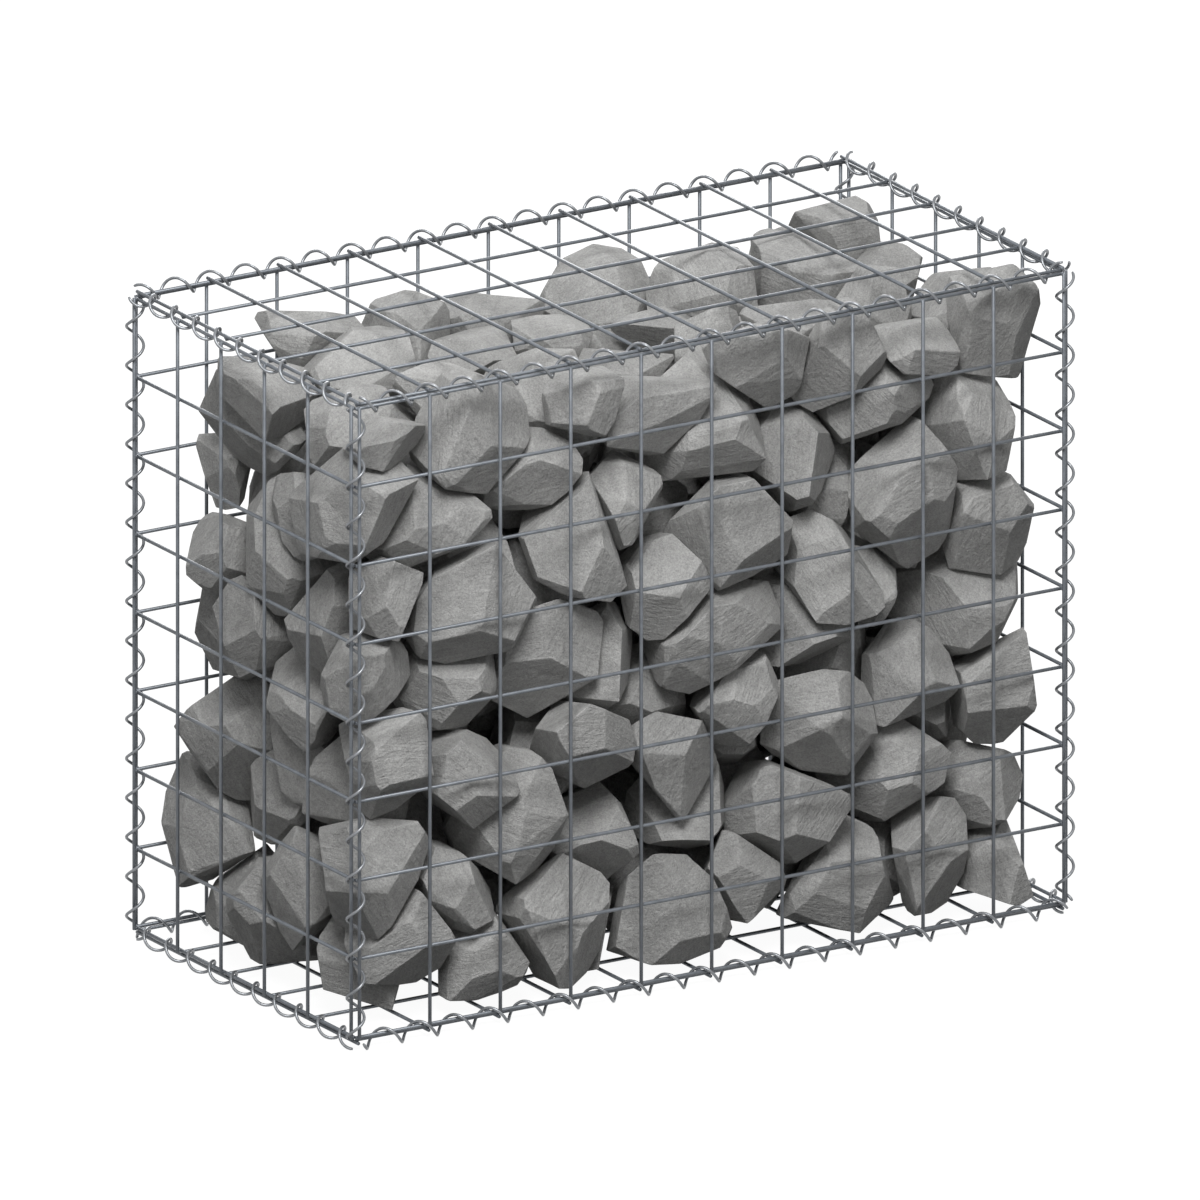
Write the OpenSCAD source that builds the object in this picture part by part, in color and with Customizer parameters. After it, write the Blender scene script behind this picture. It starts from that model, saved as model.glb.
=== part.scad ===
/* [Basket] */
// Length of the basket between the edge wires of its long sides
basket_length = 1000; // [700:50:1300]
// Depth of the basket between the edge wires of its short sides
basket_depth = 500; // [400:50:700]
// Height of the basket between the edge wires of its sides
basket_height = 800; // [600:50:1000]
// Spacing of the mesh wires, rounded so that whole cells fit each way
mesh_pitch = 100; // [80:5:125]

/* [Mesh wire] */
// Diameter of the mesh wires
wire_d = 4.5; // [3:0.25:5]
// How far two crossing wires sink into each other at their weld
weld_sink = 0.5; // [0.4:0.05:0.8]
// Gap between the edge wires of two panels that run side by side along an edge of the basket
edge_gap = 0.25; // [0.1:0.05:0.5]
// Gap between the end of a wire and the wire that it stops short of
end_gap = 0.25; // [0.1:0.05:0.5]
// How far the short wires of the lid and the base run past their edge wires
short_wire_overhang = 5.5; // [2:0.25:6]
// How far the level wires of the long sides run past their edge wires
long_wire_overhang = 3.5; // [1:0.25:3.75]
// How far the upright wires run past the top and bottom wires of their panel
upright_overhang = 2; // [1:0.25:2.5]

/* [Spiral binders] */
// Outer diameter of a spiral
spiral_d = 24.7; // [23:0.1:27]
// Diameter of the spiral's wire
spiral_wire_d = 3.8; // [3:0.1:4.2]
// Turns of a spiral for each mesh cell
turns_per_cell = 2; // [1:1:3]
// How far a level spiral's axis lies inside the plane of the base or the lid
spiral_inset = 3.2; // [2:0.1:4]
// Gap between a spiral and the wire that it bears on
spiral_seat = 0.2; // [0.1:0.05:0.4]
// How far a spiral may run past each end of its edge; below zero it stops short
spiral_overrun = 5; // [-12:0.5:5]

/* [Stones] */
// Typical width of a stone
stone_size = 125; // [110:5:150]
// Spread of the stones' sizes, as a share of the typical one
stone_spread = 0.3; // [0:0.05:0.4]
// How far a stone's centre strays from its place in the course, as a share of the spacing
stone_stray = 0.27; // [0:0.01:0.32]
// Gap where one stone bears on another or on the mesh
stone_seat = 0.4; // [0.2:0.1:0.6]
// Widest gap between neighbouring stones that don't bear on each other
stone_gap = 9; // [2:1:15]
// How far the fill stays back from the left end at most
left_slack = 60; // [10:5:80]
// How far the fill stays back from the other sides at most
side_slack = 24; // [5:1:40]
// How far the fill stays below the lid at most
top_slack = 60; // [10:5:90]
// Place in the top course that holds no stone, as shares of the length and the depth
hollow_1 = [0, 1]; // [0:0.01:1]
// Another such place
hollow_2 = [0.67, 1]; // [0:0.01:1]
// Starting number of the stones' random draws
stone_seed = 20; // [1:1:200]

/* [Hidden] */

// Whole cells each way
cells = [for (s = [basket_length, basket_depth, basket_height]) max(2, round(s / mesh_pitch))];
cell = [basket_length / cells.x, basket_depth / cells.y, basket_height / cells.z];

// The spirals under the base touch the ground at zero height
spiral_r = (spiral_d - spiral_wire_d) / 2;
base_plane = spiral_d / 2 - spiral_inset;
layer = wire_d - weld_sink;
corner_offset = layer + (wire_d + edge_gap) / sqrt(2);
floor_wire = base_plane + corner_offset;
mid_height = floor_wire + basket_height / 2;
lid_plane = floor_wire + basket_height + corner_offset;
half_x = basket_length / 2;
half_y = basket_depth / 2;

// The long wires of the lid and the base, and the level wires of the short sides, stop short of the wires
// beside them
wall_gap = corner_offset - layer - wire_d / 2;
end_wire_overhang = wall_gap - end_gap;
wire_sides = 8;

// A spiral is a chain of straight pieces, so its inside is a little narrower than a true coil's
rings_per_turn = 8;
ring_sides = 4;
spiral_inside = (spiral_r - spiral_wire_d / 2) * cos(180 / rings_per_turn);
spiral_reach = spiral_inside - spiral_seat - wire_d / 2;

// Room for the stones, inside the inner layers of wires
room_x = half_x + wall_gap;
room_y = half_y + wall_gap;
room_floor = floor_wire - wall_gap + stone_seat;
room_top = floor_wire + basket_height + wall_gap - stone_seat;
courses = 7;
stones_x = max(2, round(basket_length / stone_size));
stones_y = max(2, round(basket_depth / stone_size));
pitch_x = 2 * room_x / stones_x;
pitch_y = 2 * room_y / stones_y;
pitch_z = (room_top - room_floor) / courses;
hollows = [
  for (h = [hollow_1, hollow_2]) [round(h.x * (stones_x - 1)), round(h.y * (stones_y - 1)), courses - 1]
];

// ---- Mesh panels ----

// A wire along X, through the origin at its middle
module wire(length) {
  rotate([0, 90, 0]) rotate([0, 0, 180 / wire_sides])
    cylinder(h = length, r = wire_d / 2, center = true, $fn = wire_sides);
}

// A welded panel in the XY plane: wires along Y in the outer layer at zero height, wires along X below them
module panel(span_x, span_y, count_x, count_y, over_x, over_y) {
  for (i = [0 : count_x])
    translate([span_x * (i / count_x - 0.5), 0, 0]) rotate([0, 0, 90]) wire(span_y + 2 * over_y);
  for (j = [0 : count_y])
    translate([0, span_y * (j / count_y - 0.5), -layer]) wire(span_x + 2 * over_x);
}

// A panel of the lid or the base
module level_panel() {
  panel(basket_length, basket_depth, cells.x, cells.y, end_wire_overhang, short_wire_overhang);
}

// An upright panel of the given length, facing out along +Z with its wires' rise along Y
module upright_panel(length, count, overhang) {
  panel(length, basket_height, count, cells.z, overhang, upright_overhang);
}

module front_panel() {
  color("slategray")
    translate([0, -half_y - corner_offset, mid_height]) rotate([90, 0, 0])
      upright_panel(basket_length, cells.x, long_wire_overhang);
}

module back_panel() {
  color("slategray")
    translate([0, half_y + corner_offset, mid_height]) rotate([90, 0, 180])
      upright_panel(basket_length, cells.x, long_wire_overhang);
}

module left_panel() {
  color("slategray")
    translate([-half_x - corner_offset, 0, mid_height]) rotate([90, 0, -90])
      upright_panel(basket_depth, cells.y, end_wire_overhang);
}

module right_panel() {
  color("slategray")
    translate([half_x + corner_offset, 0, mid_height]) rotate([90, 0, 90])
      upright_panel(basket_depth, cells.y, end_wire_overhang);
}

module base_panel() {
  color("slategray")
    translate([0, 0, base_plane]) mirror([0, 0, 1]) level_panel();
}

module lid_panel() {
  color("slategray")
    translate([0, 0, lid_plane]) level_panel();
}

// ---- Spiral binders ----

// One ring of points of a spiral about Z, at a given turn angle and climb for a full turn
function ring(angle, climb) =
  let (
    outward = [cos(angle), sin(angle), 0],
    run = [-spiral_r * sin(angle), spiral_r * cos(angle), climb / 360 * 180 / PI],
    across = cross(run / norm(run), outward),
    middle = spiral_r * outward + [0, 0, climb * angle / 360]
  )
  [for (s = [0 : ring_sides - 1])
    let (a = 360 * s / ring_sides)
      middle + spiral_wire_d / 2 * (cos(a) * outward + sin(a) * across)];

// A right-handed spiral about Z, from a length below the origin to the same above.
// It stands at the given angle, counted from +X, at each cross wire of the edge that it binds.
module spiral(length, cell_size, angle_at_wire, wire_at) {
  climb = cell_size / turns_per_cell;
  step = 360 / rings_per_turn;
  phase = angle_at_wire - 360 * wire_at / climb;
  first = ceil((-360 * (length / 2 + spiral_overrun) / climb) / step + phase / step) - phase / step;
  last = floor((360 * (length / 2 + spiral_overrun) / climb) / step + phase / step) - phase / step;
  count = round(last - first);
  points = [for (i = [0 : count]) each ring((first + i) * step, climb)];
  sides = [for (i = [0 : count - 1], s = [0 : ring_sides - 1])
    let (t = (s + 1) % ring_sides, a = i * ring_sides, b = a + ring_sides)
      each [[a + s, b + s, a + t], [b + s, b + t, a + t]]];
  start_cap = [for (s = [0 : ring_sides - 1]) s];
  end_cap = [for (s = [ring_sides - 1 : -1 : 0]) count * ring_sides + s];
  rotate([0, 0, phase])
    polyhedron(points, concat(sides, [start_cap, end_cap]));
}

// Distance from a side's plane to the axis of a level spiral that bears on a wire of the lid or the base
// which lies the given depth inside its plane
function level_side(depth) = corner_offset - sqrt(pow(spiral_reach, 2) - pow(spiral_inset - depth, 2));

// Shift of a corner spiral along the line between the two edge wires, to bear on one of them
corner_shift = (spiral_reach - corner_offset / sqrt(2)) / sqrt(2);

// Height of a level spiral's axis, and its distance from the middle of the basket on each kind of edge
function level_height(level) = level < 0 ? base_plane + spiral_inset : lid_plane - spiral_inset;
along_x_at = half_y + corner_offset - level_side(layer);
along_y_at = half_x + corner_offset - level_side(0);
along_z_at = [half_x + corner_offset / 2 - corner_shift, half_y + corner_offset / 2 + corner_shift];

// Places a spiral that runs along X; front is -1 and back is 1, base is -1 and lid is 1
module spiral_along_x(side, level, angle) {
  color("silver")
    translate([0, side * along_x_at, level_height(level)])
      rotate([90, 0, 90])
        spiral(basket_length, cell.x, angle, half_x);
}

// Places a spiral that runs along Y; left is -1 and right is 1
module spiral_along_y(side, level, angle) {
  color("silver")
    translate([side * along_y_at, 0, level_height(level)])
      rotate([-90, -90, 0])
        spiral(basket_depth, cell.y, angle, half_y);
}

// Places a spiral on an upright corner
module spiral_along_z(side_x, side_y, angle) {
  color("silver")
    translate([side_x * along_z_at.x, side_y * along_z_at.y, mid_height])
      spiral(basket_height, cell.z, angle, basket_height / 2);
}

module spiral_top_front() { spiral_along_x(-1, 1, 90); }
module spiral_top_back() { spiral_along_x(1, 1, 45); }
module spiral_top_left() { spiral_along_y(-1, 1, 270); }
module spiral_top_right() { spiral_along_y(1, 1, 45); }
module spiral_base_front() { spiral_along_x(-1, -1, 180); }
module spiral_base_back() { spiral_along_x(1, -1, 270); }
module spiral_base_left() { spiral_along_y(-1, -1, 180); }
module spiral_base_right() { spiral_along_y(1, -1, 180); }
module spiral_corner_front_left() { spiral_along_z(-1, -1, 140); }
module spiral_corner_front_right() { spiral_along_z(1, -1, 0); }
module spiral_corner_back_left() { spiral_along_z(-1, 1, 45); }
module spiral_corner_back_right() { spiral_along_z(1, 1, 45); }

// ---- Stones ----

// A number for each stone, and one for each pair of stones
function stone_id(at) = at.x + stones_x * (at.y + stones_y * at.z);
function pair_id(a, b) = min(stone_id(a), stone_id(b)) * 4096 + max(stone_id(a), stone_id(b));

// Random draws from -1 to 1 that belong to a stone or to a pair
function stone_draws(at, count) = rands(-1, 1, count, stone_seed + 7 * stone_id(at));
function pair_draws(a, b, count) = rands(-1, 1, count, stone_seed * 31 + pair_id(a, b));

// A value held between two limits
function within(value, low, high) = min(high, max(low, value));

// Centre of the stone at a place in the courses; every other course is set half a stone along
function stone_centre(at) =
  let (
    stray = stone_draws(at, 3) * stone_stray,
    bond = at.z % 2 == 0 ? 0.22 : -0.22,
    step = (at.x + at.y) % 2 == 0 ? 0.2 : -0.2,
    u = within(at.x + 0.5 + bond + stray.x, 0.42, stones_x - 0.42),
    v = within(at.y + 0.5 - bond + stray.y, 0.42, stones_y - 0.42),
    w = within(at.z + 0.5 + step + 0.8 * stray.z, 0.42, courses - 0.42)
  )
  [-room_x + u * pitch_x, -room_y + v * pitch_y, room_floor + w * pitch_z];

// Weight of a stone in sharing out the room between it and its neighbours
function stone_weight(at) = 1 + stone_spread * stone_draws(at, 4)[3];

function unit(v) = v / norm(v);

// Any direction square to another, turned by an angle
function square_to(n, angle) =
  let (
    a = unit(cross(n, abs(n.z) < 0.8 ? [0, 0, 1] : [1, 0, 0])),
    b = cross(n, a)
  )
  cos(angle) * a + sin(angle) * b;

// A plane is [point, outward normal]. A facet is one plane.
function facet(point, normal) = [[point, normal]];

// A ridge is two planes that meet at an edge through the point, leaning back by the slopes
function ridge(point, normal, across, slope_a, slope_b) =
  [[point, unit(normal + slope_a * across)], [point, unit(normal - slope_b * across)]];

function in_fill(at) =
  at.x >= 0 && at.x < stones_x && at.y >= 0 && at.y < stones_y && at.z >= 0 && at.z < courses;

// Places of a stone's neighbours
function neighbours(at) =
  [for (dx = [-2 : 2], dy = [-2 : 2], dz = [-2 : 2])
    let (other = at + [dx, dy, dz])
      if (norm([dx, dy, dz]) > 0 && in_fill(other) && apart(at, other) < 1.9 * stone_size) other];

function apart(a, b) = norm(stone_centre(b) - stone_centre(a));

// The stone under another that lies nearest to it
function support(at) =
  let (
    under = [for (dx = [-1 : 1], dy = [-1 : 1]) let (other = at + [dx, dy, -1]) if (in_fill(other)) other],
    distances = [for (other = under) apart(at, other)]
  )
  [for (i = [0 : 1 : len(under) - 1]) if (distances[i] == min(distances)) under[i]][0];

// Two stones bear on each other when their centres are near, or when one is the other's support
function bears_on(a, b) = apart(a, b) < 1.15 * stone_size || support(a) == b || support(b) == a;

// Where the surface between two stones crosses the line between their centres
function meeting_point(a, b) =
  let (share = stone_weight(a) / (stone_weight(a) + stone_weight(b)))
    stone_centre(a) + share * (stone_centre(b) - stone_centre(a));

// Direction of that surface, leaning a little at random, from the lower-numbered stone to the higher
function meeting_normal(a, b) =
  let (
    from_a = stone_id(a) < stone_id(b),
    low = from_a ? a : b,
    high = from_a ? b : a,
    draws = pair_draws(a, b, 3),
    n = unit(unit(stone_centre(high) - stone_centre(low)) + 0.22 * draws)
  )
  from_a ? n : -n;

// Planes that part a stone from one neighbour. Where they bear on each other one of the two
// keeps a flat facet and the other meets it with a ridge.
function parting(at, other) =
  let (
    draws = pair_draws(at, other, 8),
    n = meeting_normal(at, other),
    touching = bears_on(at, other),
    back = touching ? stone_seat / 2 : stone_seat / 2 + stone_gap * (0.5 + 0.5 * abs(draws[3])),
    point = meeting_point(at, other) - back * n,
    is_ridge = (stone_id(at) < stone_id(other)) == (draws[4] > 0),
    across = square_to(n, 180 * draws[5])
  )
  touching && is_ridge
    ? ridge(point, n, across, 0.2 + 0.25 * abs(draws[6]), 0.2 + 0.25 * abs(draws[7]))
    : facet(point, n);

// Planes that keep a stone off a wall of the basket: one broad and two steep, which meet at a peak
// within the slack of the wall
function wall(at, wall_point, normal, slack, salt) =
  let (
    draws = rands(0, 1, 7, stone_seed * 57 + 11 * stone_id(at) + salt),
    c = stone_centre(at),
    distance = (wall_point - c) * normal - slack * pow(draws[0], 1.5),
    aside = square_to(normal, 360 * draws[1]),
    peak = c + distance * normal - 0.12 * stone_size * draws[2] * aside,
    slopes = [0.08 + 0.25 * draws[3], 0.35 + 0.5 * draws[4], 0.35 + 0.5 * draws[5]]
  )
  [for (i = [0 : 2])
    let (turn = 360 * draws[1] + [0, 120, 215][i] + 25 * draws[6])
      [peak, unit(normal + slopes[i] * square_to(normal, turn))]];

// Planes that stand a stone of the first course on the mesh of the base, on a ridge across its long wires
function standing(at) =
  let (draws = rands(0.1, 0.4, 2, stone_seed * 3 + stone_id(at)), c = stone_centre(at))
    ridge([c.x, c.y, room_floor], [0, 0, -1], [1, 0, 0], draws[0], draws[1]);

// A plane that keeps a stone off a spiral, given the spiral's axis and the way out to it
function guard(axis, outward) =
  facet(axis - (spiral_d / 2 + stone_seat) * unit(outward), unit(outward));

// Planes that keep a stone off the spirals of the edges that it lies at
function guards(at) =
  let (
    c = stone_centre(at),
    side_x = at.x == 0 ? -1 : at.x == stones_x - 1 ? 1 : 0,
    side_y = at.y == 0 ? -1 : at.y == stones_y - 1 ? 1 : 0,
    level = at.z == 0 ? -1 : at.z == courses - 1 ? 1 : 0,
    height = level_height(level)
  )
  concat(
    side_x * side_y != 0
      ? guard([side_x * along_z_at.x, side_y * along_z_at.y, c.z], [side_x, side_y, 0]) : [],
    side_y * level != 0 ? guard([c.x, side_y * along_x_at, height], [0, side_y, level]) : [],
    side_x * level != 0 ? guard([side_x * along_y_at, c.y, height], [side_x, 0, level]) : []
  );

// Broken corners: planes that cut a stone in random directions but spare the points that it bears at
function fractures(at) =
  let (
    c = stone_centre(at),
    draws = rands(-1, 1, 24, stone_seed * 91 + stone_id(at)),
    bearers = [for (other = neighbours(at)) if (other.z != at.z && bears_on(at, other)) other],
    spared = [for (other = bearers) meeting_point(at, other)]
  )
  [for (i = [0 : 5])
    let (
      normal = unit([draws[4 * i], draws[4 * i + 1], 0.8 * draws[4 * i + 2]]),
      wanted = stone_size * (0.45 + 0.06 * draws[4 * i + 3]) * stone_weight(at),
      kept = max([0, for (p = spared) (p - c) * normal + 2])
    )
    [c + max(wanted, kept) * normal, normal]];

// All planes of a stone
function stone_planes(at) =
  concat(
    [for (other = neighbours(at)) each parting(at, other)],
    fractures(at),
    guards(at),
    at.x == 0 ? wall(at, [-room_x, 0, 0], [-1, 0, 0], left_slack, 1) : [],
    at.x == stones_x - 1 ? wall(at, [room_x, 0, 0], [1, 0, 0], side_slack, 2) : [],
    at.y == 0 ? wall(at, [0, -room_y, 0], [0, -1, 0], side_slack, 3) : [],
    at.y == stones_y - 1 ? wall(at, [0, room_y, 0], [0, 1, 0], side_slack, 4) : [],
    at.z == 0 ? standing(at) : [],
    at.z == courses - 1 ? wall(at, [0, 0, room_top], [0, 0, 1], top_slack, 5) : []
  );

// The half space behind a plane, as a block wide enough for any stone
module behind(plane) {
  size = 4 * stone_size;
  n = plane[1];
  translate(plane[0]) rotate([0, acos(n.z), atan2(n.y, n.x)])
    translate([-size / 2, -size / 2, -size]) cube(size);
}

// Planes that could reach a stone's solid
function near_planes(at) =
  let (c = stone_centre(at), reach = 0.85 * stone_size)
    [for (p = stone_planes(at)) if ((p[0] - c) * p[1] < reach) p];

module stone(at) {
  c = stone_centre(at);
  intersection() {
    translate(c) cube(1.9 * stone_size, center = true);
    intersection_for (p = near_planes(at)) behind(p);
  }
}

module stones_course(number) {
  color("gray")
    for (i = [0 : stones_x - 1], j = [0 : stones_y - 1])
      if (len([for (h = hollows) if (h == [i, j, number - 1]) h]) == 0) stone([i, j, number - 1]);
}

// ---- Nodes ----

front_panel();
back_panel();
left_panel();
right_panel();
base_panel();
lid_panel();
spiral_top_front();
spiral_top_back();
spiral_top_left();
spiral_top_right();
spiral_base_front();
spiral_base_back();
spiral_base_left();
spiral_base_right();
spiral_corner_front_left();
spiral_corner_front_right();
spiral_corner_back_left();
spiral_corner_back_right();
stones_course(1);  // stones_course_1
stones_course(2);  // stones_course_2
stones_course(3);  // stones_course_3
stones_course(4);  // stones_course_4
stones_course(5);  // stones_course_5
stones_course(6);  // stones_course_6
stones_course(7);  // stones_course_7
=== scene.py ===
"""The looks of a gabion basket filled with stone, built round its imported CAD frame. Lengths are in metres."""

import math
import random

import bmesh
import bpy
import numpy as np
from mathutils import Euler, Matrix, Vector, noise


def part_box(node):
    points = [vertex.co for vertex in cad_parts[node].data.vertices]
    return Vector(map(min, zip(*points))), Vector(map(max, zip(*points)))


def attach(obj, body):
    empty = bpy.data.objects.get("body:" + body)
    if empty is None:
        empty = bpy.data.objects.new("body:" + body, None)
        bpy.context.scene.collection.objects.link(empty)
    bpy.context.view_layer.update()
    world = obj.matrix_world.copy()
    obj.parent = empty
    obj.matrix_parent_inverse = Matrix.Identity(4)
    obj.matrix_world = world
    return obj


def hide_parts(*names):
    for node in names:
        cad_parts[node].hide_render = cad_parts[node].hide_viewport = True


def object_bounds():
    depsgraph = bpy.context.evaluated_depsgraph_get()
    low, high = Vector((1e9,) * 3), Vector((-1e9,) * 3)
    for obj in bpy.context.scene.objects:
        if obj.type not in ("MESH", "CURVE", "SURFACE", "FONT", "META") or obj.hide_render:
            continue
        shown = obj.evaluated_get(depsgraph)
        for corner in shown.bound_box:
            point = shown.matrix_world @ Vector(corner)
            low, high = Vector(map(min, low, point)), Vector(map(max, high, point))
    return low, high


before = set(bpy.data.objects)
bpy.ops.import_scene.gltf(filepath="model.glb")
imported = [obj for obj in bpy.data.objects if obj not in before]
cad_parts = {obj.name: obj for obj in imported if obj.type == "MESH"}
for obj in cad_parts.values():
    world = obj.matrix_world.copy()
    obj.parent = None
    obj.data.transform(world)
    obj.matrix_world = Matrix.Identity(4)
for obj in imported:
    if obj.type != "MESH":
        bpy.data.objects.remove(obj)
cad_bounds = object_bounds()

MM = 0.001

# ---- The basket, as the CAD model has it ----

CELLS_X, CELLS_Y, CELLS_Z = 10, 5, 8
WIRE_R = 2.25 * MM
# Gap between two edge wires side by side, and between a wire's end and the wire that it stops short of
EDGE_GAP, END_GAP = 0.25 * MM, 0.25 * MM
# How far the wires run past the edge wires that cross them
END_OVERHANG = (2 * WIRE_R + EDGE_GAP) / math.sqrt(2) - WIRE_R - END_GAP
LONG_OVERHANG, SHORT_OVERHANG, UPRIGHT_OVERHANG = 3.5 * MM, 5.5 * MM, 2 * MM
SPIRAL_WIRE_R = 1.9 * MM
TURNS_PER_CELL = 2
# Angle at which each spiral stands at the cross wires, counted from its first side to its second (see RUNS)
SPIRAL_ANGLES = {
    "spiral_top_front": 90,
    "spiral_top_back": 45,
    "spiral_top_left": 270,
    "spiral_top_right": 45,
    "spiral_base_front": 180,
    "spiral_base_back": 270,
    "spiral_base_left": 180,
    "spiral_base_right": 180,
    "spiral_corner_front_left": 140,
    "spiral_corner_front_right": 0,
    "spiral_corner_back_left": 45,
    "spiral_corner_back_right": 45,
}
COURSES = 7

# ---- Small helpers ----


def node_box(name):
    """Lowest and highest corner of a CAD node as numpy arrays."""
    low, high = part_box(name)
    return np.array(low), np.array(high)


def add_object(name, points, faces, material, replaced):
    """A mesh object that rides on the part and stands for CAD nodes."""
    mesh = bpy.data.meshes.new(name)
    mesh.from_pydata([tuple(p) for p in points], [], [tuple(f) for f in faces])
    mesh.validate()
    mesh.polygons.foreach_set("use_smooth", [True] * len(mesh.polygons))
    mesh.materials.append(material)
    obj = bpy.data.objects.new(name, mesh)
    bpy.context.scene.collection.objects.link(obj)
    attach(obj, "root")
    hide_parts(*replaced)
    return obj


class Shape:
    """Points and faces gathered from many small solids."""

    def __init__(self):
        self.points, self.faces = [], []

    def add(self, points, faces):
        start = len(self.points)
        self.points.extend(points)
        self.faces.extend([tuple(start + i for i in f) for f in faces])


def tube(rings):
    """Points and faces of a closed tube through rings that hold as many points each."""
    sides = len(rings[0])
    points = [p for ring in rings for p in ring]
    faces = []
    for i in range(len(rings) - 1):
        a, b = i * sides, (i + 1) * sides
        for s in range(sides):
            t = (s + 1) % sides
            faces.append((a + s, a + t, b + t, b + s))
    faces.append(tuple(reversed(range(sides))))
    faces.append(tuple(range(len(points) - sides, len(points))))
    return points, faces


def ring_at(centre, u, v, radius, sides):
    """Points of a circle in the plane of two directions."""
    return [
        centre + radius * (math.cos(2 * math.pi * s / sides) * u + math.sin(2 * math.pi * s / sides) * v)
        for s in range(sides)
    ]


# ---- Materials ----


def new_material(name):
    """A material, its emptied node tree and the tree's new output node."""
    material = bpy.data.materials.new(name)
    material.use_nodes = True
    tree = material.node_tree
    tree.nodes.clear()
    output = tree.nodes.new("ShaderNodeOutputMaterial")
    return material, tree, output


def link(tree, source, target):
    tree.links.new(source, target)


def noise_node(tree, vector, scale, detail, roughness, distortion=0.0):
    node = tree.nodes.new("ShaderNodeTexNoise")
    node.inputs["Scale"].default_value = scale
    node.inputs["Detail"].default_value = detail
    node.inputs["Roughness"].default_value = roughness
    node.inputs["Distortion"].default_value = distortion
    link(tree, vector, node.inputs["Vector"])
    return node.outputs["Fac"]


def mapped(tree, vector, scale):
    """A vector stretched by its own scale along each axis."""
    node = tree.nodes.new("ShaderNodeMapping")
    node.inputs["Scale"].default_value = scale
    link(tree, vector, node.inputs["Vector"])
    return node.outputs["Vector"]


def remap(tree, value, low, high, new_low, new_high):
    """A value carried from one range to another and held inside it."""
    node = tree.nodes.new("ShaderNodeMapRange")
    node.inputs["From Min"].default_value = low
    node.inputs["From Max"].default_value = high
    node.inputs["To Min"].default_value = new_low
    node.inputs["To Max"].default_value = new_high
    link(tree, value, node.inputs["Value"])
    return node.outputs["Result"]


def math_node(tree, operation, a, b):
    node = tree.nodes.new("ShaderNodeMath")
    node.operation = operation
    link(tree, a, node.inputs[0])
    link(tree, b, node.inputs[1])
    return node.outputs["Value"]


def mix_colour(tree, factor, a, b, blend="MIX"):
    """Mixes two colours, each of them a tuple or a socket. The node's colour sockets go by number."""
    node = tree.nodes.new("ShaderNodeMix")
    node.data_type = "RGBA"
    node.blend_type = blend
    if isinstance(factor, (int, float)):
        node.inputs["Factor"].default_value = factor
    else:
        link(tree, factor, node.inputs["Factor"])
    for socket, value in ((node.inputs[6], a), (node.inputs[7], b)):
        if isinstance(value, tuple):
            socket.default_value = (*value, 1)
        else:
            link(tree, value, socket)
    return node.outputs[2]


def bump(tree, height, strength, distance, normal=None):
    """A normal raised by a height, on top of another normal where one is given."""
    node = tree.nodes.new("ShaderNodeBump")
    node.inputs["Strength"].default_value = strength
    node.inputs["Distance"].default_value = distance
    link(tree, height, node.inputs["Height"])
    if normal is not None:
        link(tree, normal, node.inputs["Normal"])
    return node.outputs["Normal"]


def attribute(tree, name):
    """The outputs of a node that reads one of the mesh's attributes."""
    node = tree.nodes.new("ShaderNodeAttribute")
    node.attribute_name = name
    return node.outputs


STONE_GREY, STONE_PALE = (0.335, 0.334, 0.328), (0.405, 0.403, 0.395)
STONE_DARK = (0.245, 0.244, 0.24)
# Waves a metre along the grain's three axes, so that the beds are thin along the third
BED_SCALE = (34, 34, 230)


def stone_material():
    """Grey stone with soft patches, dark mottle, fine speckle, bedding layers and a painted highlight that
    lightens its colour near the edges.
    """
    material, tree, output = new_material("broken_stone")
    at = attribute(tree, "grain")["Vector"]
    tint = attribute(tree, "tint")["Fac"]
    # Nearness to an edge, which drives a painted highlight along the edges
    edge = attribute(tree, "edge")["Fac"]

    patches = noise_node(tree, at, scale=22, detail=3, roughness=0.6)
    mottle = noise_node(tree, at, scale=130, detail=5, roughness=0.7)
    speckle = noise_node(tree, at, scale=430, detail=3, roughness=0.8)
    beds = noise_node(tree, mapped(tree, at, BED_SCALE), scale=1, detail=4, roughness=0.6, distortion=0.8)

    colour = mix_colour(tree, remap(tree, patches, 0.3, 0.7, 0, 1), STONE_GREY, STONE_PALE)
    colour = mix_colour(tree, remap(tree, mottle, 0.35, 0.65, 0, 0.4), colour, STONE_DARK)
    shade = remap(tree, speckle, 0.3, 0.7, 0.72, 1.24)
    shade = math_node(tree, "MULTIPLY", shade, remap(tree, beds, 0.3, 0.7, 0.9, 1.08))
    shade = math_node(tree, "MULTIPLY", shade, tint)
    # Painted highlight: the colour is up to 5% lighter near the edges
    shade = math_node(tree, "MULTIPLY", shade, remap(tree, edge, 0, 1, 1, 1.05))
    grey = tree.nodes.new("ShaderNodeCombineColor")
    for socket in grey.inputs[:3]:
        link(tree, shade, socket)
    colour = mix_colour(tree, 1.0, colour, grey.outputs["Color"], "MULTIPLY")

    shader = tree.nodes.new("ShaderNodeBsdfPrincipled")
    link(tree, colour, shader.inputs["Base Color"])
    link(tree, remap(tree, mottle, 0.3, 0.7, 0.82, 0.96), shader.inputs["Roughness"])
    shader.inputs["Specular IOR Level"].default_value = 0.3
    normal = bump(tree, speckle, strength=0.9, distance=1.0 * MM)
    normal = bump(tree, mottle, strength=0.9, distance=2.6 * MM, normal=normal)
    normal = bump(tree, beds, strength=0.9, distance=1.9 * MM, normal=normal)
    link(tree, normal, shader.inputs["Normal"])
    link(tree, shader.outputs["BSDF"], output.inputs["Surface"])
    return material


# How much of its dark shade the zinc keeps in its finest specks
SPECK_SHADE = 0.72


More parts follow.
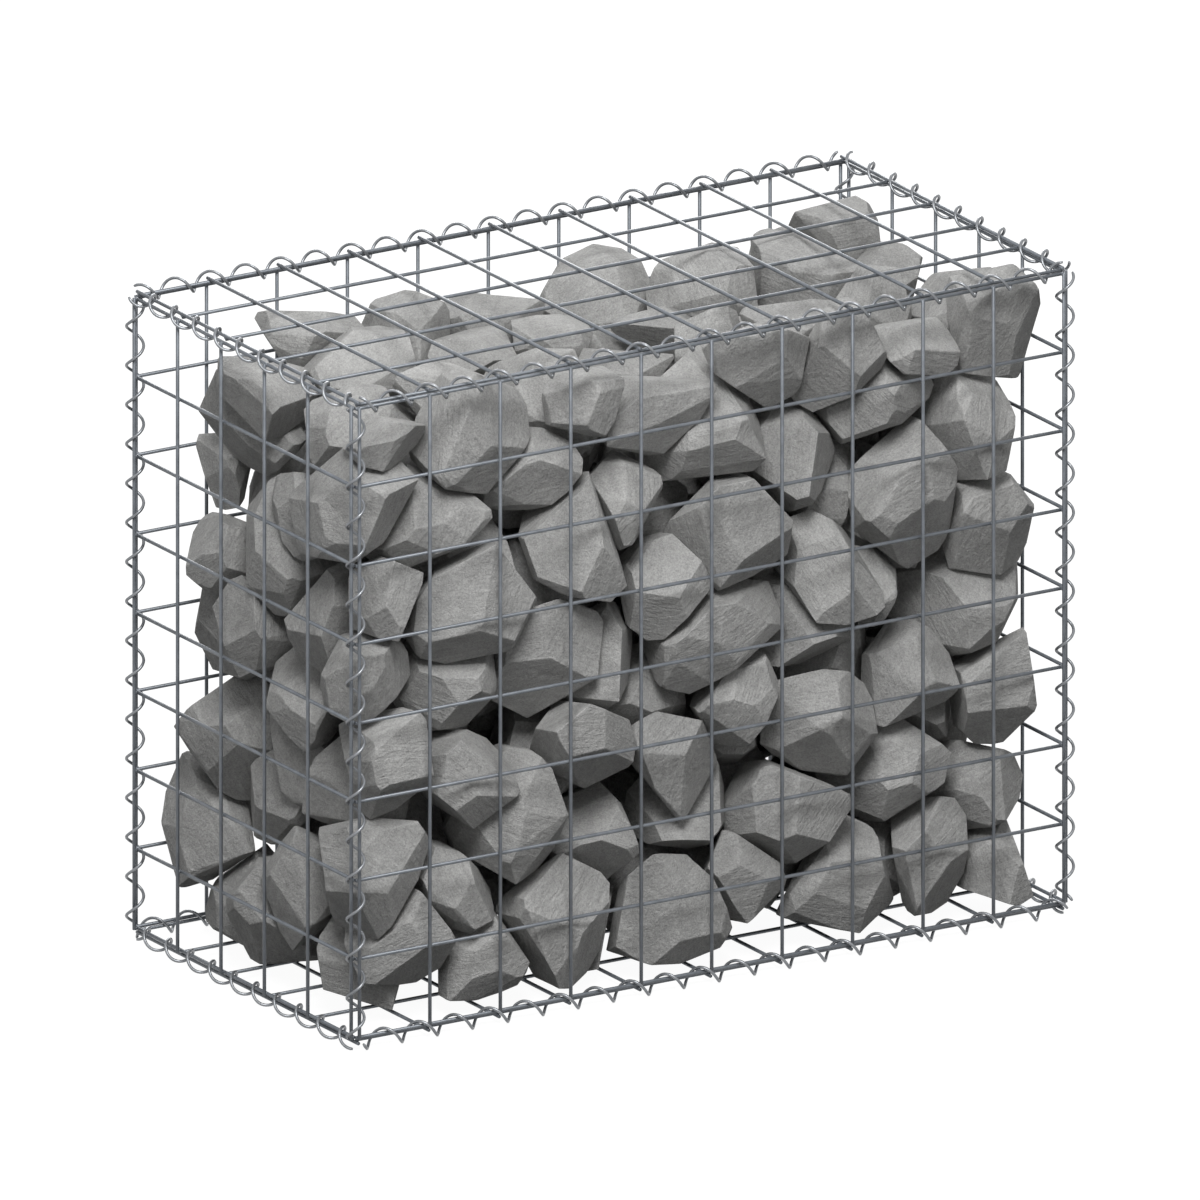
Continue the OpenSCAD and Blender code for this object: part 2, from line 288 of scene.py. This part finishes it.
def zinc_material(name, dark, light, rough_low, rough_high, metallic):
    """Galvanised wire: zinc in patches, with fine dark specks."""
    material, tree, output = new_material(name)
    coords = tree.nodes.new("ShaderNodeTexCoord")
    at = coords.outputs["Object"]
    patches = noise_node(tree, at, scale=60, detail=4, roughness=0.6)
    fine = noise_node(tree, at, scale=700, detail=3, roughness=0.6)
    colour = mix_colour(tree, remap(tree, patches, 0.32, 0.68, 0, 1), dark, light)
    speck = tuple(SPECK_SHADE * c for c in dark)
    colour = mix_colour(tree, remap(tree, fine, 0.35, 0.75, 0, 0.22), colour, speck)
    shader = tree.nodes.new("ShaderNodeBsdfPrincipled")
    link(tree, colour, shader.inputs["Base Color"])
    shader.inputs["Metallic"].default_value = metallic
    link(tree, remap(tree, patches, 0.3, 0.7, rough_low, rough_high), shader.inputs["Roughness"])
    link(tree, bump(tree, fine, strength=0.2, distance=0.08 * MM), shader.inputs["Normal"])
    link(tree, shader.outputs["BSDF"], output.inputs["Surface"])
    return material


# ---- Mesh panels ----

WIRE_SIDES = 12
# A cut end narrows to this share of the wire's radius over the length of its tip
TIP_LENGTH, TIP_SHARE = 0.4 * MM, 0.75
WELD_RINGS, WELD_SIDES = 4, 8
# Half the height and half the width of a weld's flash, as shares of the wire's radius
WELD_HEIGHT, WELD_WIDTH = 0.65, 1.35
# How far its flat ends fall short of its poles, as a share of the step between two rings
WELD_CAP = 0.35


def square_to(direction):
    """A direction at right angles to another one."""
    return np.cross(direction, [0.0, 0.0, 1.0] if abs(direction[2]) < 0.9 else [1.0, 0.0, 0.0])


def straight_wire(start, end):
    """Points and faces of a straight mesh wire with slightly broken ends."""
    run = end - start
    along = run / np.linalg.norm(run)
    u = square_to(along)
    u /= np.linalg.norm(u)
    v = np.cross(along, u)
    tip = TIP_LENGTH * along
    steps = ((start, TIP_SHARE), (start + tip, 1.0), (end - tip, 1.0), (end, TIP_SHARE))
    return tube([ring_at(centre, u, v, share * WIRE_R, WIRE_SIDES) for centre, share in steps])


def weld(centre, outward):
    """Flash squeezed out where two crossing wires are welded, as a flattened ball between them."""
    n = np.array(outward, dtype=float)
    u = square_to(n)
    v = np.cross(n, u)
    rings = []
    for i in range(WELD_RINGS + 1):
        lift = -math.cos(math.pi * (i + WELD_CAP) / (WELD_RINGS + 2 * WELD_CAP))
        width = math.sqrt(1 - lift * lift)
        middle = centre + WELD_HEIGHT * WIRE_R * lift * n
        rings.append(ring_at(middle, u, v, WELD_WIDTH * WIRE_R * width, WELD_SIDES))
    return tube(rings)


def mesh_panel(node, along, up, count_along, count_up, over_along, over_up, outward, material):
    """A welded panel in the box of its CAD node, with the wires that run along axis 'up' outside."""
    low, high = node_box(node)
    across = 3 - along - up
    sign = outward[across]
    outer = high[across] - WIRE_R if sign > 0 else low[across] + WIRE_R
    inner = low[across] + WIRE_R if sign > 0 else high[across] - WIRE_R
    edge_a = (low[along] + max(over_along, WIRE_R), high[along] - max(over_along, WIRE_R))
    edge_u = (low[up] + max(over_up, WIRE_R), high[up] - max(over_up, WIRE_R))
    shape = Shape()

    def point(a, u, level):
        p = np.zeros(3)
        p[along], p[up], p[across] = a, u, level
        return p

    places_a = np.linspace(*edge_a, count_along + 1)
    places_u = np.linspace(*edge_u, count_up + 1)
    for a in places_a:
        start, end = point(a, edge_u[0] - over_up, outer), point(a, edge_u[1] + over_up, outer)
        shape.add(*straight_wire(start, end))
    for u in places_u:
        start, end = point(edge_a[0] - over_along, u, inner), point(edge_a[1] + over_along, u, inner)
        shape.add(*straight_wire(start, end))
    for a in places_a:
        for u in places_u:
            shape.add(*weld(point(a, u, (outer + inner) / 2), outward))
    add_object("wire_" + node, shape.points, shape.faces, material, [node])


# ---- Spirals ----

# Rings in a turn, and points in a ring
SPIRAL_STEPS, SPIRAL_SIDES = 28, 8
# For the axis that a spiral runs along: the two axes between which its angle is counted, the cells along it,
# a panel whose edge wires it spans, and how far that panel's wires run past them
RUNS = {
    0: (1, 2, CELLS_X, "front_panel", LONG_OVERHANG),
    1: (2, 0, CELLS_Y, "left_panel", END_OVERHANG),
    2: (0, 1, CELLS_Z, "front_panel", UPRIGHT_OVERHANG),
}


def spiral(node, material):
    """A right-handed coil of round wire with the pitch, the place and the winding of its CAD node."""
    low, high = node_box(node)
    size = high - low
    run = int(np.argmax(size))
    first, second, cells, panel, overhang = RUNS[run]
    panel_low, panel_high = node_box(panel)
    start_wire = panel_low[run] + max(overhang, WIRE_R)
    length = panel_high[run] - panel_low[run] - 2 * max(overhang, WIRE_R)
    climb = length / cells / TURNS_PER_CELL
    radius = min(size[first], size[second]) / 2 - SPIRAL_WIRE_R
    centre = (low + high) / 2
    phase = math.radians(SPIRAL_ANGLES[node])
    u, v, w = np.zeros(3), np.zeros(3), np.zeros(3)
    u[first], v[second], w[run] = 1, 1, 1
    start, end = low[run] + SPIRAL_WIRE_R, high[run] - SPIRAL_WIRE_R
    count = int(round((end - start) / climb * SPIRAL_STEPS))
    rings = []
    for i in range(count + 1):
        along = start + (end - start) * i / count
        angle = phase + 2 * math.pi * (along - start_wire) / climb
        outward = math.cos(angle) * u + math.sin(angle) * v
        turn = -math.sin(angle) * u + math.cos(angle) * v
        tangent = 2 * math.pi * radius * turn + climb * w
        tangent /= np.linalg.norm(tangent)
        side = np.cross(tangent, outward)
        middle = np.zeros(3)
        middle[first], middle[second], middle[run] = centre[first], centre[second], along
        share = TIP_SHARE if i in (0, count) else 1.0
        rings.append(ring_at(middle + radius * outward, outward, side, share * SPIRAL_WIRE_R, SPIRAL_SIDES))
    points, faces = tube(rings)
    add_object("coil_" + node, points, faces, material, [node])


# ---- Stones ----

STONE_SEED = 4100
# Points nearer than this to each other are one, in the CAD model and in a finished block
SAME_CORNER, SAME_PLACE = 0.02 * MM, 0.1 * MM
# Shortest edge of a block before and after its corners are knocked off
SHORTEST_EDGE, SHORTEST_SCAR = 8 * MM, 3 * MM
# Faces that meet at less than the first angle are one, and edges sharper than the second are broken
COPLANAR, SHARP = math.radians(0.5), math.radians(9)
# Corners and edges knocked off a block: how many, how deep in millimetres, and how far the scar may lean
CORNER_SCARS, CORNER_DEPTH, CORNER_LEAN = (3, 5), (2.5, 8), 0.35
EDGE_SCARS, EDGE_DEPTH, EDGE_LEAN = (2, 4), (0.8, 3), 0.12
# Each edge to knock off is the longest of so many
EDGE_CHOICE = 4
# Narrowest and widest bevel of a broken edge, in millimetres
BEVEL = (0.7, 1.5)
# Longest edge, and most passes of splitting, of a block that shows and of one behind others
FINE_MESH, COARSE_MESH = (12.5 * MM, 5), (30 * MM, 2)
# A stone whose centre is deeper than this in the basket lies behind others
INNER_DEPTH = 0.15
# Wear over the whole block and along its edges: how many waves a metre, and how deep in millimetres
SWELL_WAVES, SWELL_DEPTH = 17, 0.8
LUMP_WAVES, LUMP_DEPTH = 45, 0.4
EDGE_WAVES, EDGE_WEAR, EDGE_NOISE_SHIFT = 60, 0.5, Vector((7, 3, 1))
# How far from an edge its own wear reaches
EDGE_REACH = 3.2 * MM
# Each block takes its wear and its grain from a place in the noise that is at most this far off
WEAR_SHIFT, GRAIN_SHIFT = 50, 20
# The bedding follows the broadest face, where a face counts for less the more it turns away from outside
FACING_BIAS, FACING_LEAST = 0.3, 0.05
# How far the bedding may lean from that face
BEDDING_LEAN = 0.15
# Darkest and lightest stone, as shares of the material's shade
TINTS = (0.93, 1.07)


def loose_solids(node):
    """The corners of each loose solid of a CAD node."""
    whole = bmesh.new()
    whole.from_mesh(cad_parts[node].data)
    bmesh.ops.remove_doubles(whole, verts=whole.verts, dist=SAME_CORNER)
    whole.verts.ensure_lookup_table()
    seen, solids = set(), []
    for vert in whole.verts:
        if vert.index in seen:
            continue
        stack, part = [vert], []
        seen.add(vert.index)
        while stack:
            current = stack.pop()
            part.append(current.co.copy())
            for e in current.link_edges:
                other = e.other_vert(current)
                if other.index not in seen:
                    seen.add(other.index)
                    stack.append(other)
        solids.append(part)
    whole.free()
    return solids


def hull_of(points, shortest):
    """Convex block with flat faces round the points, without edges shorter than the limit."""
    block = bmesh.new()
    for p in points:
        block.verts.new(p)
    bmesh.ops.remove_doubles(block, verts=block.verts, dist=shortest)
    result = bmesh.ops.convex_hull(block, input=block.verts)
    spare = {g for g in result["geom_interior"] + result["geom_unused"] if isinstance(g, bmesh.types.BMVert)}
    bmesh.ops.delete(block, geom=list(spare), context="VERTS")
    bmesh.ops.dissolve_limit(block, angle_limit=COPLANAR, verts=block.verts, edges=block.edges)
    block.normal_update()
    return block


def knock_off(block, point, normal):
    """Breaks off what lies outside a plane, which leaves a flat scar."""
    geom = block.verts[:] + block.edges[:] + block.faces[:]
    cut = bmesh.ops.bisect_plane(block, geom=geom, plane_co=point, plane_no=normal, clear_outer=True)
    rim = [g for g in cut["geom_cut"] if isinstance(g, bmesh.types.BMEdge)]
    bmesh.ops.holes_fill(block, edges=rim, sides=0)
    block.normal_update()


def random_vector(rng, most):
    """A vector whose three parts are each within a limit of zero."""
    return Vector([rng.uniform(-most, most) for _ in range(3)])


def tilted(normal, rng, lean):
    """A direction turned a little at random."""
    return (normal + lean * random_vector(rng, 1)).normalized()


def rough_block(corners, rng):
    """A stone's block with knocked-off corners and broken edges, and the planes of its faces."""
    block = hull_of(corners, SHORTEST_EDGE)
    for _ in range(rng.randint(*CORNER_SCARS)):
        v = rng.choice(block.verts[:])
        normal = tilted(v.normal, rng, CORNER_LEAN)
        knock_off(block, v.co - rng.uniform(*CORNER_DEPTH) * MM * normal, normal)
    for _ in range(rng.randint(*EDGE_SCARS)):
        some = rng.sample(block.edges[:], min(EDGE_CHOICE, len(block.edges)))
        e = max(some, key=lambda e: e.calc_length())
        outward = sum((f.normal for f in e.link_faces), Vector()).normalized()
        normal = tilted(outward, rng, EDGE_LEAN)
        middle = (e.verts[0].co + e.verts[1].co) / 2
        knock_off(block, middle - rng.uniform(*EDGE_DEPTH) * MM * normal, normal)
    points = [v.co.copy() for v in block.verts]
    block.free()
    block = hull_of(points, SHORTEST_SCAR)
    planes = [(f.calc_center_median().copy(), f.normal.copy()) for f in block.faces]
    bmesh.ops.bevel(
        block,
        geom=[e for e in block.edges if e.calc_face_angle(0) > SHARP],
        offset=rng.uniform(*BEVEL) * MM,
        segments=2,
        profile=0.55,
        affect="EDGES",
        clamp_overlap=True,
    )
    bmesh.ops.remove_doubles(block, verts=block.verts, dist=SAME_PLACE)
    bmesh.ops.dissolve_degenerate(block, edges=block.edges, dist=SAME_PLACE)
    return block, planes


def refine(block, longest, passes):
    """Splits long edges in a few passes and clears away slivers."""
    bmesh.ops.triangulate(block, faces=block.faces)
    for _ in range(passes):
        edges = [e for e in block.edges if e.calc_length() > longest]
        if not edges:
            break
        bmesh.ops.subdivide_edges(block, edges=edges, cuts=1)
        bmesh.ops.triangulate(block, faces=[f for f in block.faces if len(f.verts) > 3])
    bmesh.ops.dissolve_degenerate(block, edges=block.edges, dist=SAME_PLACE)
    bmesh.ops.triangulate(block, faces=[f for f in block.faces if len(f.verts) > 3])


def centre_of(points):
    """The mean of some points."""
    points = list(points)
    return sum(points, Vector()) / len(points)


def worn(place, deepest):
    """How deep the wear goes at a place in the noise."""
    return deepest * (0.5 + 0.5 * noise.noise(place))


def weather(block, planes, rng):
    """Wears the block inwards: uneven faces, blunt edges. Returns how near each point is to an edge."""
    centre = centre_of(v.co for v in block.verts)
    shift = random_vector(rng, WEAR_SHIFT)
    points = np.array([v.co for v in block.verts])
    centres = np.array([c for c, _ in planes])
    normals = np.array([n for _, n in planes])
    depth = np.abs(((centres[None] - points[:, None]) * normals[None]).sum(2))
    depth.sort(axis=1)
    nearness = np.exp(-((depth[:, 1] / EDGE_REACH) ** 2)).tolist()
    for v, near in zip(block.verts, nearness):
        p = v.co + shift
        inward = worn(p * SWELL_WAVES, SWELL_DEPTH) + worn(p * LUMP_WAVES, LUMP_DEPTH)
        inward += near * worn(p * EDGE_WAVES + EDGE_NOISE_SHIFT, EDGE_WEAR)
        v.co -= inward * MM * (v.co - centre).normalized()
    return nearness


def bedding(block, low, high, rng):
    """Turns the grain so that the stone has split along its bedding on its broadest outer face."""
    centre = centre_of(v.co for v in block.verts)
    outward = Vector([(centre[i] - low[i]) / (high[i] - low[i]) - 0.5 for i in range(3)]).normalized()

    def breadth(face):
        return face.calc_area() * max(FACING_LEAST, face.normal.dot(outward) + FACING_BIAS)

    axis = tilted(max(block.faces, key=breadth).normal, rng, BEDDING_LEAN)
    spin = Euler((0, 0, rng.uniform(0, 2 * math.pi))).to_matrix()
    return spin @ axis.rotation_difference(Vector((0, 0, 1))).to_matrix()


def is_inner(corners, low, high):
    """Whether a stone lies behind others on every side."""
    centre = centre_of(corners)
    return all(low[i] + INNER_DEPTH < centre[i] < high[i] - INNER_DEPTH for i in range(3))


def broad_normals(mesh):
    """A normal for each point that follows its broadest faces, so that only narrow bevels look rounded."""
    normals = np.zeros((len(mesh.vertices), 3))
    for face in mesh.polygons:
        normals[list(face.vertices)] += face.area * np.array(face.normal)
    return normals / np.maximum(np.linalg.norm(normals, axis=1), 1e-12)[:, None]


def stones_course(number, material, low, high):
    """The stones of one course, each broken and weathered in its own way."""
    node = f"stones_course_{number}"
    rng = random.Random(STONE_SEED + number)
    shape = Shape()
    grain, tint, edge = [], [], []

    def place(corners):
        """The lowest x and y, to a tenth of a millimetre."""
        return round(min(p.x for p in corners), 4), round(min(p.y for p in corners), 4)

    for corners in sorted(loose_solids(node), key=place):
        block, planes = rough_block(corners, rng)
        inner = is_inner(corners, low, high)
        turn = bedding(block, low, high, rng)
        refine(block, *(COARSE_MESH if inner else FINE_MESH))
        nearness = weather(block, planes, rng)
        shift = random_vector(rng, GRAIN_SHIFT)
        shade = rng.uniform(*TINTS)
        block.verts.index_update()
        shape.add([v.co.copy() for v in block.verts], [[v.index for v in f.verts] for f in block.faces])
        for v, near in zip(block.verts, nearness):
            grain.extend(turn @ v.co + shift)
            tint.append(shade)
            edge.append(near)
        block.free()
    obj = add_object(f"rough_stones_{number}", shape.points, shape.faces, material, [node])
    mesh = obj.data
    mesh.normals_split_custom_set_from_vertices(broad_normals(mesh))
    mesh.attributes.new("grain", "FLOAT_VECTOR", "POINT").data.foreach_set("vector", grain)
    mesh.attributes.new("tint", "FLOAT", "POINT").data.foreach_set("value", tint)
    # Nearness to an edge, kept for the stone material's painted edge highlight
    mesh.attributes.new("edge", "FLOAT", "POINT").data.foreach_set("value", edge)


# ---- Camera, light and floor ----

# The photo's view, which is parallel, and the width that it takes in
AZIMUTH, ELEVATION = math.radians(-31.65), math.radians(18.13)
VIEW_WIDTH = 1.45
CAMERA_DISTANCE, FAR_CLIP = 6, 40
FLOOR_HALF_WIDTH = 9
# Light that the world gives the object
WORLD_LEVEL = 0.465
# Shade of the floor for the light that it throws back, and for the light that shows on it
FLOOR_BOUNCE, FLOOR_LIT = 0.05, 0.95
# How much of the shown floor glows, and how strongly: the rest takes the object's shadow
FLOOR_GLOW, GLOW_STRENGTH = 0.9, 1.06


def set_camera(low, high):
    """A parallel view of the middle of the object."""
    level = math.cos(ELEVATION)
    back = Vector((level * math.sin(AZIMUTH), -level * math.cos(AZIMUTH), math.sin(ELEVATION)))
    aim = Vector([(low[i] + high[i]) / 2 for i in range(3)])
    data = bpy.data.cameras.new("camera")
    data.type = "ORTHO"
    data.ortho_scale = VIEW_WIDTH
    data.clip_end = FAR_CLIP
    camera = bpy.data.objects.new("camera", data)
    camera.location = aim + CAMERA_DISTANCE * back
    camera.rotation_euler = back.to_track_quat("Z", "Y").to_euler()
    bpy.context.scene.collection.objects.link(camera)
    bpy.context.scene.camera = camera


def add_light(name, place, target, size, power):
    """A square lamp that shines from its place towards a target."""
    data = bpy.data.lights.new(name, "AREA")
    data.shape = "SQUARE"
    data.size = size
    data.energy = power
    lamp = bpy.data.objects.new(name, data)
    lamp.location = place
    lamp.rotation_euler = (Vector(place) - Vector(target)).to_track_quat("Z", "Y").to_euler()
    lamp.visible_camera = False
    bpy.context.scene.collection.objects.link(lamp)


def seen_directly(tree):
    """1 for rays from the camera and for those that gloss or glass sends on."""
    path = tree.nodes.new("ShaderNodeLightPath")
    both = math_node(tree, "MAXIMUM", path.outputs["Is Camera Ray"], path.outputs["Is Glossy Ray"])
    return math_node(tree, "MAXIMUM", both, path.outputs["Is Transmission Ray"])


def set_world(level):
    """Even light at a level, which looks white where it is seen directly."""
    world = bpy.data.worlds.new("studio")
    world.use_nodes = True
    tree = world.node_tree
    tree.nodes.clear()
    output = tree.nodes.new("ShaderNodeOutputWorld")
    background = tree.nodes.new("ShaderNodeBackground")
    background.inputs["Color"].default_value = (1, 1, 1, 1)
    link(tree, remap(tree, seen_directly(tree), 0, 1, level, 1), background.inputs["Strength"])
    link(tree, background.outputs["Background"], output.inputs["Surface"])
    bpy.context.scene.world = world


def add_floor(height):
    """A floor that looks white, keeps the object's shadow and throws little light back."""
    material, tree, output = new_material("pale_floor")
    bounce = tree.nodes.new("ShaderNodeBsdfDiffuse")
    bounce.inputs["Color"].default_value = (FLOOR_BOUNCE, FLOOR_BOUNCE, FLOOR_BOUNCE, 1)
    lit = tree.nodes.new("ShaderNodeBsdfDiffuse")
    lit.inputs["Color"].default_value = (FLOOR_LIT, FLOOR_LIT, FLOOR_LIT, 1)
    white = tree.nodes.new("ShaderNodeEmission")
    white.inputs["Strength"].default_value = GLOW_STRENGTH
    shown = tree.nodes.new("ShaderNodeMixShader")
    shown.inputs["Fac"].default_value = FLOOR_GLOW
    link(tree, lit.outputs["BSDF"], shown.inputs[1])
    link(tree, white.outputs["Emission"], shown.inputs[2])
    both = tree.nodes.new("ShaderNodeMixShader")
    link(tree, seen_directly(tree), both.inputs["Fac"])
    link(tree, bounce.outputs["BSDF"], both.inputs[1])
    link(tree, shown.outputs["Shader"], both.inputs[2])
    link(tree, both.outputs["Shader"], output.inputs["Surface"])
    mesh = bpy.data.meshes.new("floor")
    r = FLOOR_HALF_WIDTH
    corners = [(-r, -r, height), (r, -r, height), (r, r, height), (-r, r, height)]
    mesh.from_pydata(corners, [], [(0, 1, 2, 3)])
    mesh.materials.append(material)
    floor = bpy.data.objects.new("floor", mesh)
    bpy.context.scene.collection.objects.link(floor)


# ---- The scene ----

low, high = cad_bounds
mesh_zinc = zinc_material(
    "zinc_mesh",
    dark=(0.118, 0.13, 0.146),
    light=(0.178, 0.194, 0.215),
    rough_low=0.34,
    rough_high=0.46,
    metallic=0.3,
)
coil_zinc = zinc_material(
    "zinc_coil",
    dark=(0.18, 0.19, 0.203),
    light=(0.275, 0.285, 0.3),
    rough_low=0.3,
    rough_high=0.4,
    metallic=0.6,
)
stone = stone_material()

for name, side in (("front_panel", -1), ("back_panel", 1)):
    mesh_panel(name, 0, 2, CELLS_X, CELLS_Z, LONG_OVERHANG, UPRIGHT_OVERHANG, (0, side, 0), mesh_zinc)
for name, side in (("left_panel", -1), ("right_panel", 1)):
    mesh_panel(name, 1, 2, CELLS_Y, CELLS_Z, END_OVERHANG, UPRIGHT_OVERHANG, (side, 0, 0), mesh_zinc)
for name, side in (("base_panel", -1), ("lid_panel", 1)):
    mesh_panel(name, 0, 1, CELLS_X, CELLS_Y, END_OVERHANG, SHORT_OVERHANG, (0, 0, side), mesh_zinc)
for name in SPIRAL_ANGLES:
    spiral(name, coil_zinc)
for number in range(1, COURSES + 1):
    stones_course(number, stone, low, high)

set_camera(low, high)
set_world(WORLD_LEVEL)
add_light("key", place=(-1.75, -2.6, 4.15), target=(0, 0, 0.45), size=1.8, power=232)
add_light("fill_from_behind", place=(2.0, 3.1, 2.1), target=(0, 0, 0.5), size=2.2, power=100)
add_floor(low[2])

bpy.context.scene.view_settings.view_transform = "Standard"
